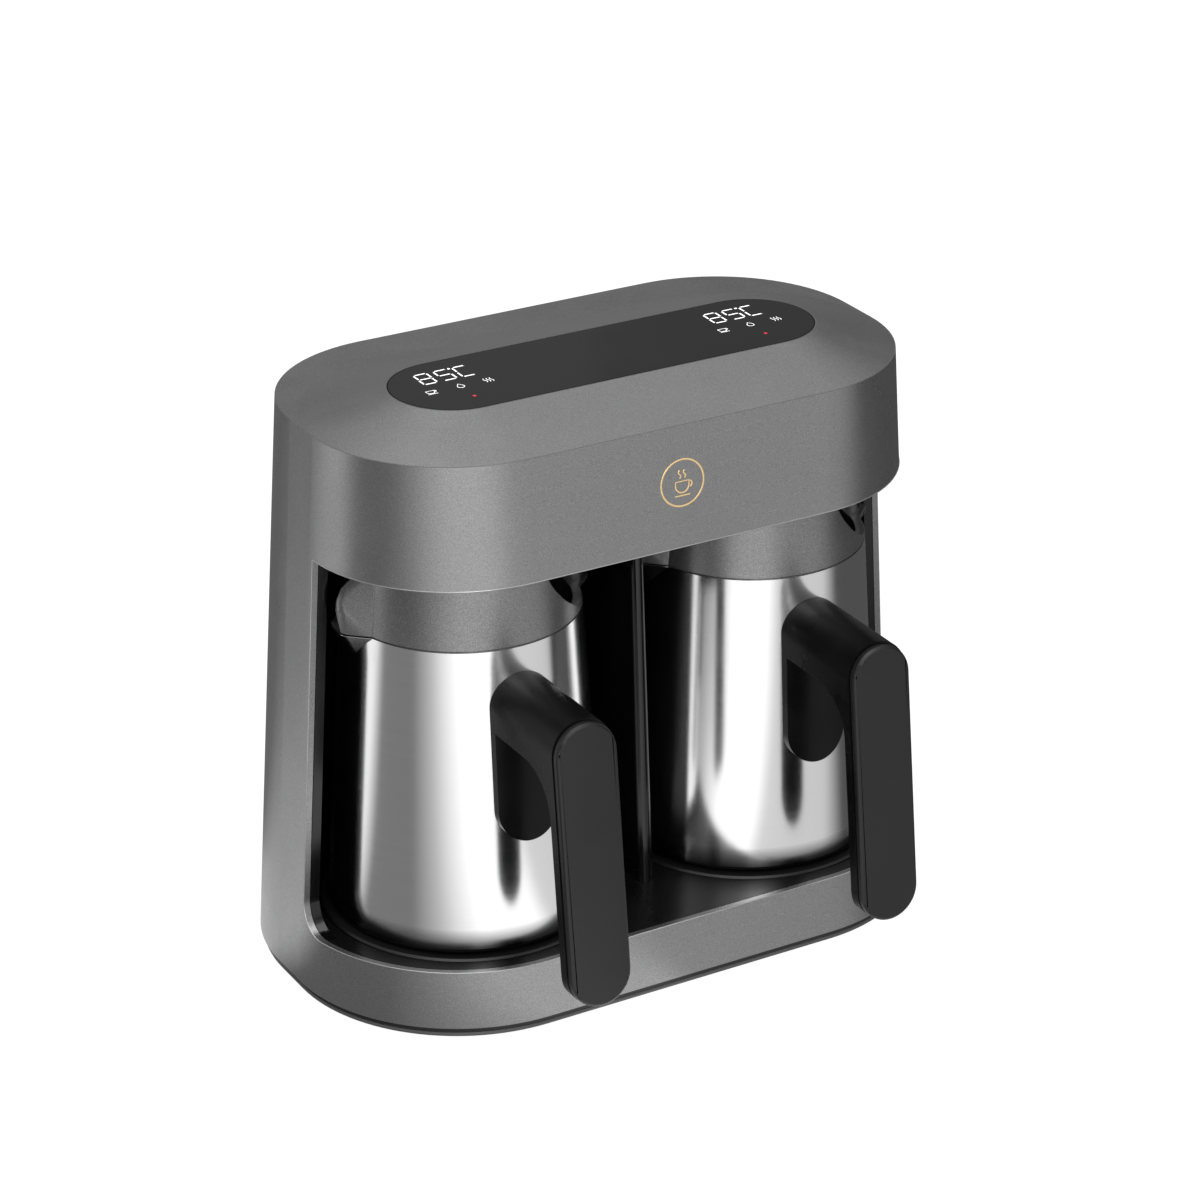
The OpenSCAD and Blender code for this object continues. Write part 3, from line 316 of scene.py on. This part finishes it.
def add_camera():
    """Camera at the photograph's viewing angle."""
    data = bpy.data.cameras.new("camera")
    data.lens = CAMERA_LENS
    data.sensor_width = CAMERA_SENSOR
    data.clip_end = CAMERA_REACH
    camera = bpy.data.objects.new("camera", data)
    camera.location = CAMERA_PLACE
    camera.rotation_euler = (math.radians(CAMERA_TILT), 0, math.radians(CAMERA_TURN))
    bpy.context.scene.collection.objects.link(camera)
    bpy.context.scene.camera = camera


# ---------------------------------------------------------------- floor, world and lamps
# Brightness that shiny parts see round about, as pairs of turn in degrees and level.
# The turn is measured from the direction of the camera's side, to the right of it.
BANDS = ((-180, 0.2), (-142, 0.18), (-116, 0.2), (-100, 0.8), (-80, 1.0), (-70, 0.2), (-44, 0.19),
         (-30, 0.5), (-20, 0.85), (-8, 1.2), (24, 1.2), (34, 0.7), (78, 0.62), (92, 0.08), (160, 0.08),
         (180, 0.2))
# The same above the horizon, where the room behind is dimmer
SKY_BANDS = ((-180, 0.25), (-130, 0.25), (-112, 0.8), (-100, 0.8), (-90, 0.06), (-56, 0.06), (-22, 0.8),
             (-12, 1.05), (24, 1.05), (34, 0.85), (78, 0.75), (96, 0.08), (150, 0.08), (180, 0.2))
# Heights, as the upward part of a direction, between which the panels fade into an even ceiling
CEILING_SPAN = (0.45, 0.8)
CEILING = 0.7
# Turn that puts the middle of the radial gradient on the camera's side
BANDS_TURN = 30 + 90

FLOOR_SIZE = 40
# Floor's colour as the object sees it, and its colour and glow as the camera sees it
FLOOR_COLOR = 0.8
FLOOR_SEEN = 0.2
FLOOR_GLOW = 0.93

# Name, place, target, size and watts of each lamp
LAMPS = (("soft_top", (-0.2, -0.3, 1.6), (0, 0, 0.1), (1.4, 1.4), 14),
         ("soft_front", (-0.5, -1.6, 0.9), (0, 0, 0.15), (0.5, 1.0), 5))


def bands(t, vector, table):
    """Soft light and grey panels that stand round the object, as shiny parts see them."""
    turn = t.nodes.new("ShaderNodeVectorRotate")
    turn.rotation_type = "Z_AXIS"
    turn.inputs["Angle"].default_value = math.radians(BANDS_TURN)
    feed(t, vector, turn.inputs["Vector"])
    spin = t.nodes.new("ShaderNodeTexGradient")
    spin.gradient_type = "RADIAL"
    feed(t, turn.outputs[0], spin.inputs["Vector"])
    ramp = t.nodes.new("ShaderNodeValToRGB")
    stops = ramp.color_ramp.elements
    stops[0].position, stops[1].position = 0.0, 1.0
    stops[0].color = (*grey(table[0][1]), 1)
    stops[1].color = (*grey(table[-1][1]), 1)
    for angle, level in table[1:-1]:
        stops.new(0.5 + angle / 360).color = (*grey(level), 1)
    feed(t, spin.outputs["Fac"], ramp.inputs["Fac"])
    return ramp.outputs["Color"]


def panels_above(t, vector):
    """Panels above the horizon, fading into an even ceiling."""
    split = t.nodes.new("ShaderNodeSeparateXYZ")
    feed(t, vector, split.inputs[0])
    mix = t.nodes.new("ShaderNodeMix")
    mix.data_type = "RGBA"
    feed(t, remap(t, split.outputs["Z"], CEILING_SPAN, 0.0, 1.0), mix.inputs["Factor"])
    feed(t, bands(t, vector, SKY_BANDS), mix.inputs["A"])
    mix.inputs["B"].default_value = (*grey(CEILING), 1)
    return mix.outputs["Result"]


def floor_material():
    """Plain floor for light, near white for the camera, and the bands for shiny parts."""
    m = bpy.data.materials.new("pale_floor")
    m.use_nodes = True
    t = m.node_tree
    t.nodes.clear()
    path = t.nodes.new("ShaderNodeLightPath")
    plain = t.nodes.new("ShaderNodeBsdfDiffuse")
    plain.inputs["Color"].default_value = (*grey(FLOOR_COLOR), 1)
    faint = t.nodes.new("ShaderNodeBsdfDiffuse")
    faint.inputs["Color"].default_value = (*grey(FLOOR_SEEN), 1)
    glow = t.nodes.new("ShaderNodeEmission")
    glow.inputs["Strength"].default_value = FLOOR_GLOW
    seen = t.nodes.new("ShaderNodeAddShader")
    feed(t, glow.outputs[0], seen.inputs[0])
    feed(t, faint.outputs[0], seen.inputs[1])
    mirror = t.nodes.new("ShaderNodeEmission")
    feed(t, bands(t, own_place(t), BANDS), mirror.inputs["Color"])
    surface = plain
    for ray, other in (("Is Camera Ray", seen), ("Is Glossy Ray", mirror)):
        mix = t.nodes.new("ShaderNodeMixShader")
        feed(t, path.outputs[ray], mix.inputs[0])
        feed(t, surface.outputs[0], mix.inputs[1])
        feed(t, other.outputs[0], mix.inputs[2])
        surface = mix
    feed(t, surface.outputs[0], t.nodes.new("ShaderNodeOutputMaterial").inputs["Surface"])
    return m


def add_world():
    """White for the camera, panels and ceiling for everything else."""
    world = bpy.data.worlds.new("studio")
    bpy.context.scene.world = world
    world.use_nodes = True
    t = world.node_tree
    mix = t.nodes.new("ShaderNodeMix")
    mix.data_type = "RGBA"
    mix.inputs["B"].default_value = (*grey(1), 1)
    co = t.nodes.new("ShaderNodeTexCoord").outputs["Generated"]
    feed(t, panels_above(t, co), mix.inputs["A"])
    feed(t, t.nodes.new("ShaderNodeLightPath").outputs["Is Camera Ray"], mix.inputs["Factor"])
    feed(t, mix.outputs["Result"], t.nodes["Background"].inputs["Color"])


def add_lamp(name, place, target, size, watts):
    """Soft rectangular lamp at a place, aimed at a target."""
    data = bpy.data.lights.new(name, "AREA")
    data.shape = "RECTANGLE"
    data.size, data.size_y = size
    data.energy = watts
    lamp = bpy.data.objects.new(name, data)
    lamp.location = place
    lamp.rotation_euler = (Vector(target) - Vector(place)).to_track_quat("-Z", "Y").to_euler()
    bpy.context.scene.collection.objects.link(lamp)


def studio():
    """Camera, pale floor, even world light and two soft lamps."""
    add_camera()
    bpy.ops.mesh.primitive_plane_add(size=FLOOR_SIZE)
    floor = bpy.context.object
    floor.name = "floor"
    floor.data.materials.append(floor_material())
    add_world()
    for row in LAMPS:
        add_lamp(*row)
    bpy.context.scene.view_settings.view_transform = "Standard"


# ---------------------------------------------------------------- helpers for new pieces
# Corners of a CAD mesh closer than this are one corner
MERGE = 2e-5
# Faces that meet at less than this angle shade as one smooth surface, in degrees
SMOOTH = 30
ROUND_STEPS = 2


def settle(name, look):
    """Names the active piece, puts its place into its mesh, smooths it and lets it ride."""
    piece = bpy.context.object
    piece.name = name
    bpy.ops.object.transform_apply(location=True, rotation=True, scale=True)
    bpy.ops.object.shade_smooth_by_angle(angle=math.radians(SMOOTH))
    piece.data.materials.clear()
    piece.data.materials.append(look)
    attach(piece, "machine")


def merged_copy(node, name):
    """Copy of a CAD node, active and in edit mode, with its corners merged."""
    bpy.ops.object.select_all(action="DESELECT")
    piece = bpy.data.objects.new(name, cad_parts[node].data.copy())
    bpy.context.collection.objects.link(piece)
    piece.select_set(True)
    bpy.context.view_layer.objects.active = piece
    bpy.ops.mesh.customdata_custom_splitnormals_clear()
    bpy.ops.object.mode_set(mode="EDIT")
    bpy.ops.mesh.select_all(action="SELECT")
    bpy.ops.mesh.remove_doubles(threshold=MERGE)
    return piece


def joined(pieces):
    """Joins pieces into one object, which stays active."""
    bpy.ops.object.select_all(action="DESELECT")
    for p in pieces:
        p.select_set(True)
    bpy.context.view_layer.objects.active = pieces[0]
    bpy.ops.object.join()
    return bpy.context.object


def disc(radius, sides, place):
    """Thin disc that lies on the glass at a place in metres."""
    bpy.ops.object.select_all(action="DESELECT")
    bpy.ops.mesh.primitive_cylinder_add(vertices=sides, radius=radius * MM, depth=MARK_T * MM,
                                        location=(*place, GLASS_TOP + MARK_T * MM / 2))
    bpy.ops.object.transform_apply(location=True, rotation=True, scale=True)
    return bpy.context.object


# Height of a raised line as a share of its width
FLATTEN = 0.3


def stroke(points, width, closed=False):
    """Thin raised line through points of the XY plane in millimetres, as a mesh."""
    bpy.ops.object.select_all(action="DESELECT")
    bpy.ops.curve.primitive_bezier_curve_add()
    line = bpy.context.object
    line.data.splines.clear()
    path = line.data.splines.new("POLY")
    path.points.add(len(points) - 1)
    for spot, (x, y) in zip(path.points, points):
        spot.co = (x * MM, y * MM, 0, 1)
    path.use_cyclic_u = closed
    line.data.bevel_depth = width * MM / 2
    line.data.bevel_resolution = ROUND_STEPS
    line.data.use_fill_caps = True
    bpy.ops.object.convert(target="MESH")
    line = bpy.context.object
    line.scale.z = FLATTEN
    bpy.ops.object.transform_apply(location=False, rotation=False, scale=True)
    return line


def arc(cx, cy, r, start, end, steps):
    """Points of a circular arc, in millimetres and degrees."""
    turns = (math.radians(start + (end - start) * k / steps) for k in range(steps + 1))
    return [(cx + r * math.cos(a), cy + r * math.sin(a)) for a in turns]


# ---------------------------------------------------------------- figures and marks on the glass
# Sizes in millimetres
MARK_T = 0.06
DISPLAY_X = 65.1
DIGIT_H = 10.2
DIGIT_W = 5.6
DIGIT_LINE = 0.58
DIGIT_GAP = 0.35
DIGIT_LEAN_SHARE = 0.05
DEGREE_R = 0.55
DEGREE_X, DEGREE_Y = 4.3, 4.9
# Bars of a digit as (x share, y share, upright), lit for each figure
BARS = {"top": (0, 0.5, False), "middle": (0, 0, False), "foot": (0, -0.5, False),
        "left_up": (-0.5, 0.25, True), "right_up": (0.5, 0.25, True),
        "left_low": (-0.5, -0.25, True), "right_low": (0.5, -0.25, True)}
FIGURES = {"8": tuple(BARS), "5": ("top", "left_up", "middle", "right_low", "foot"),
           "C": ("top", "left_up", "left_low", "foot")}
SHOWN = (("8", -8.4), ("5", 0.1), ("C", 8.3))
# Share of a bar's half length past which an edge counts as its end
END_SHARE = 0.99


def digit_bar(length, width):
    """One bar of a digit: a flat bar with pointed ends, along X."""
    bpy.ops.object.select_all(action="DESELECT")
    bpy.ops.mesh.primitive_plane_add(size=1)
    bar = bpy.context.object
    bar.scale = ((length - width) * MM, width * MM, 1)
    bpy.ops.object.transform_apply(location=False, rotation=False, scale=True)
    for side in (-1, 1):
        bpy.ops.object.mode_set(mode="EDIT")
        mesh = bmesh.from_edit_mesh(bar.data)
        for f in mesh.faces:
            f.select_set(False)
        for e in mesh.edges:
            ends = [v.co.x * side for v in e.verts]
            e.select_set(min(ends) > (length - width) * MM / 2 * END_SHARE)
        mesh.select_flush_mode()
        bmesh.update_edit_mesh(bar.data)
        bpy.ops.mesh.extrude_region_move(
            TRANSFORM_OT_translate={"value": (side * width * MM / 2, 0, 0)})
        bpy.ops.mesh.merge(type="CENTER")
        bpy.ops.object.mode_set(mode="OBJECT")
    bpy.ops.object.mode_set(mode="EDIT")
    bpy.ops.mesh.select_all(action="SELECT")
    bpy.ops.mesh.extrude_region_move(TRANSFORM_OT_translate={"value": (0, 0, MARK_T * MM)})
    bpy.ops.mesh.select_all(action="SELECT")
    bpy.ops.mesh.normals_make_consistent(inside=False)
    bpy.ops.object.mode_set(mode="OBJECT")
    return bar


def show_digits(name, centre_x, node):
    """White figures with a degree dot, lying on the glass over a display."""
    low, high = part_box(node)
    y = (low.y + high.y) / 2 / MM
    bars = []
    flat = digit_bar(DIGIT_W - 2 * DIGIT_GAP, DIGIT_LINE)
    tall = digit_bar(DIGIT_H / 2 - 2 * DIGIT_GAP, DIGIT_LINE)
    for figure, shift in SHOWN:
        for key in FIGURES[figure]:
            sx, sy, upright = BARS[key]
            src = tall if upright else flat
            bar = src.copy()
            bar.data = src.data.copy()
            bpy.context.collection.objects.link(bar)
            lean = DIGIT_LEAN_SHARE * sy * DIGIT_H
            place = Matrix.Translation(((centre_x + shift + sx * DIGIT_W + lean) * MM,
                                        (y + sy * DIGIT_H) * MM, GLASS_TOP))
            bar.data.transform(place @ Matrix.Rotation(math.radians(90 if upright else 0), 4, "Z"))
            bars.append(bar)
    for src in (flat, tall):
        bpy.data.objects.remove(src)
    bars.append(disc(DEGREE_R, 20, ((centre_x + DEGREE_X) * MM, (y + DEGREE_Y) * MM)))
    joined(bars)
    settle(name, WHITE_LIT)


# Touch marks, in millimetres before they are scaled by MARK_SIZE
MARK_SIZE = 0.8
MARK_LINE = 0.26
# Height of a line's middle above the glass, as a share of its width
MARK_LIFT_SHARE = 0.12
MARK_Y = 6.9
CUP_X, DROP_X, STEAM_X = -12.4, 0, 12.2
CUP_BOWL = [(-2.6, 1.4), (1.6, 1.4)] + arc(-0.5, 0.2, 2.1, 0, -180, 14)
CUP_EAR = arc(1.7, 0.5, 0.9, 90, -80, 10)
SAUCER = [(-3.0, -2.6), (2.2, -2.6)]
DROP = [(0, 2.6)] + arc(0, -0.6, 1.75, 150, 390, 18)


def wave(x, low, sway, half_turn, rise, steps):
    """Points of a rising wavy line: half_turn steps make half a swing."""
    return [(x + sway * math.sin(math.pi * k / half_turn), low + rise * k) for k in range(steps + 1)]


def touch_marks(name, centre_x):
    """Three small marks under the figures: a cup, a drop and rising steam."""
    marks = []

    def put(points, dx, closed=False):
        mark = stroke([(MARK_SIZE * u, MARK_SIZE * v) for u, v in points], MARK_LINE, closed)
        mark.data.transform(Matrix.Translation(((centre_x + dx) * MM, MARK_Y * MM,
                                                GLASS_TOP + MARK_LINE * MM * MARK_LIFT_SHARE)))
        marks.append(mark)

    put(CUP_BOWL, CUP_X, True)
    put(CUP_EAR, CUP_X)
    put(SAUCER, CUP_X)
    put(DROP, DROP_X, True)
    for x in (-1.7, 0, 1.7):
        put(wave(x, -2.2, 0.45, 5, 0.46, 10), STEAM_X)
    joined(marks)
    settle(name, WHITE_LIT)


# Radius of a signal lamp, in millimetres
SIGNAL_R = 0.7


def red_dots():
    """Signal lamps seen through the glass, one for each pot."""
    low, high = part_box("indicator_lamps")
    # A lamp's width is the node's depth, and the two lamps stand at its ends
    x, y = high.x - (high.y - low.y) / 2, (low.y + high.y) / 2
    joined([disc(SIGNAL_R, 28, (side * x, y)) for side in (-1, 1)])
    settle("signal_dots", RED_LIT)


# ---------------------------------------------------------------- badge
# Sizes and points in millimetres, from the middle of the ring
BADGE_R = 9.45
BADGE_LINE = 0.72
THIN_SHARE = 0.8
# Depth of the lines' middle behind the middle of the CAD badge
BADGE_SINK = 0.14
BADGE_BOWL = [(-3.1, 0.6), (-3.1, -1.0)] + arc(-0.1, -1.0, 3.0, 180, 360, 24) + [(2.9, 0.6)]
BADGE_EAR = arc(3.0, -0.9, 1.25, 78, -78, 16)
BADGE_SAUCER = [(-3.4, -5.2), (3.2, -5.2)]


def cup_badge():
    """Ring with a cup and rising steam, raised on the front of the head."""
    low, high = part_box("front_badge")
    thin = BADGE_LINE * THIN_SHARE
    parts = [stroke(arc(0, 0, BADGE_R, 0, 360, 96)[:-1], BADGE_LINE, True),
             stroke(BADGE_BOWL, thin, True), stroke(BADGE_EAR, thin), stroke(BADGE_SAUCER, thin)]
    parts += [stroke(wave(x, 1.9, 0.5, 6, 0.27, 12), thin) for x in (-1.2, 1.0)]
    badge = joined(parts)
    # Lines lie in the face of the wall, which leans back by its draft
    place = (0, (low.y + high.y) / 2 + BADGE_SINK * MM, (low.z + high.z) / 2)
    badge.data.transform(Matrix.Translation(place) @ Matrix.Rotation(math.pi / 2 - DRAFT, 4, "X"))
    settle("cup_badge", GOLD)
    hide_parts("front_badge")


# ---------------------------------------------------------------- softened handles, covers and collars
# Upright faces taller than SLIVER_H and narrower than SLIVER_W are merged away in the collars
SLIVER_H = 8 * MM
SLIVER_W = 1.2 * MM
# Faces that lie this flat to each other are one face, in degrees
FLAT_ANGLE = 0.1
BEVEL_STEPS = 2


def select_slivers(piece):
    """Selects the corners of tall narrow faces."""
    mesh = bmesh.from_edit_mesh(piece.data)
    for v in mesh.verts:
        v.select_set(False)
    for f in mesh.faces:
        rise = max(v.co.z for v in f.verts) - min(v.co.z for v in f.verts)
        if rise > SLIVER_H and f.calc_area() < SLIVER_W * rise:
            for v in f.verts:
                v.select_set(True)
    bmesh.update_edit_mesh(piece.data)


def front_edge(e):
    """True for edges in the front part of a handle, round the seat of its cover."""
    return max(v.co.y for v in e.verts) < GRIP_FRONT


def softened(node, name, body, look, width, chosen=None, angle=SMOOTH, even=True,
             sliver_merge=0):
    """Copy of a CAD node whose sharp edges get a small radius; chosen(edge) may narrow them down.

    Where sliver_merge is given, corners of slivers closer than this become one, in metres.
    """
    piece = merged_copy(node, name)
    bpy.ops.mesh.dissolve_limited(angle_limit=math.radians(FLAT_ANGLE))
    if sliver_merge:
        select_slivers(piece)
        bpy.ops.mesh.remove_doubles(threshold=sliver_merge)
    bpy.ops.object.mode_set(mode="OBJECT")
    mesh = bmesh.new()
    mesh.from_mesh(piece.data)
    weight = mesh.edges.layers.float.new("bevel_weight_edge")
    for e in mesh.edges:
        if len(e.link_faces) == 2 and e.calc_face_angle(0) > math.radians(angle):
            e[weight] = 1.0 if chosen is None or chosen(e) else 0.0
    mesh.to_mesh(piece.data)
    mesh.free()
    bpy.ops.object.shade_smooth_by_angle(angle=math.radians(angle))
    bevel = piece.modifiers.new("edge_radius", "BEVEL")
    bevel.limit_method = "WEIGHT"
    bevel.width = width * MM
    bevel.segments = BEVEL_STEPS
    bevel.use_clamp_overlap = False
    bevel.harden_normals = True
    bpy.ops.object.modifier_apply(modifier=bevel.name)
    if even:
        weigh = piece.modifiers.new("even_normals", "WEIGHTED_NORMAL")
        weigh.keep_sharp = True
        bpy.ops.object.modifier_apply(modifier=weigh.name)
    else:
        bpy.ops.mesh.customdata_custom_splitnormals_clear()
        bpy.ops.object.shade_smooth_by_angle(angle=math.radians(angle))
    piece.data.materials.clear()
    piece.data.materials.append(look)
    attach(piece, body)
    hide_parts(node)


# ---------------------------------------------------------------- painted edge highlight and foot rim of the housing
# Edges are taken as lying in the drafted outer wall when they are this close to it
WALL_BAND = 0.25 * MM
# Edges lower than this above the housing's foot don't belong to the opening
EDGE_MIN = 8 * MM
SHARP = math.radians(35)


def opening_edge(e):
    """True for the sharp edges of the bay opening in the drafted outer wall of the housing."""
    if len(e.link_faces) != 2 or e.calc_face_angle(0) < SHARP:
        return False
    for v in e.verts:
        wall_r = FOOT_R - (v.co.z - HOUSING_LOW.z) * math.tan(DRAFT)
        far = math.hypot(max(abs(v.co.x) - CORE_X, 0), max(abs(v.co.y - MID_Y) - CORE_Y, 0))
        if far < wall_r - WALL_BAND or v.co.z < HOUSING_LOW.z + EDGE_MIN:
            return False
    return max(v.co.z for v in e.verts) < HOOD_LOW


def edge_glint(name, node, chosen, width):
    """Fine rounded line along chosen edges of a CAD node, in a paint lighter than the housing's: a
    painted highlight.
    """
    line = merged_copy(node, name)
    mesh = bmesh.from_edit_mesh(line.data)
    rest = [e for e in mesh.edges if not chosen(e)]
    bmesh.ops.delete(mesh, geom=list(mesh.faces), context="FACES_ONLY")
    bmesh.ops.delete(mesh, geom=[e for e in rest if e.is_valid], context="EDGES")
    bmesh.update_edit_mesh(line.data)
    bpy.ops.object.mode_set(mode="OBJECT")
    bpy.ops.object.convert(target="CURVE")
    line = bpy.context.object
    line.data.bevel_depth = width * MM / 2
    line.data.bevel_resolution = ROUND_STEPS
    line.data.use_fill_caps = True
    bpy.ops.object.convert(target="MESH")
    settle(name, GLINT_PAINT)


def foot_skirt():
    """Low rim of the bottom plate, set in a little from the foot of the housing."""
    inset, width, rise, steps = 2.4, 2.2, 1.5, 30
    r = FOOT_R / MM - inset
    x, y = CORE_X / MM, CORE_Y / MM
    path = []
    for turn, sx, sy in ((0, 1, 1), (90, -1, 1), (180, -1, -1), (270, 1, -1)):
        path += arc(sx * x, sy * y, r, turn, turn + 90, steps)
    skirt = stroke(path, width, True)
    # The line is made as tall as it is wide again
    upright = Matrix.Diagonal((1, 1, 1 / FLATTEN, 1))
    skirt.data.transform(Matrix.Translation((0, MID_Y, rise * MM)) @ upright)
    settle("foot_skirt", SKIRT)


# ---------------------------------------------------------------- the pieces
show_digits("left_figures", -DISPLAY_X, "left_display")
show_digits("right_figures", DISPLAY_X, "right_display")
touch_marks("left_touch_marks", -DISPLAY_X)
touch_marks("right_touch_marks", DISPLAY_X)
red_dots()
cup_badge()
# Radii of softened edges and width of the edge line, in millimetres
HANDLE_EDGE = 0.4
COLLAR_EDGE = 0.3
GLINT_WIDTH = 0.42
for side in ("left", "right"):
    body = side + "_pot_body"
    softened(side + "_handle", side + "_handle_soft", body, HANDLE_BLACK,
             HANDLE_EDGE, front_edge)
    softened(side + "_handle_cover", side + "_cover_soft", body, COVER_BLACK,
             HANDLE_EDGE)
    softened(side + "_pot_collar", side + "_collar_soft", body, COLLAR_PAINT,
             COLLAR_EDGE, angle=50, even=False, sliver_merge=2 * MM)
# Painted highlight along the edge of the bay opening
edge_glint("opening_edge_line", "outer_housing", opening_edge, GLINT_WIDTH)
foot_skirt()
studio()
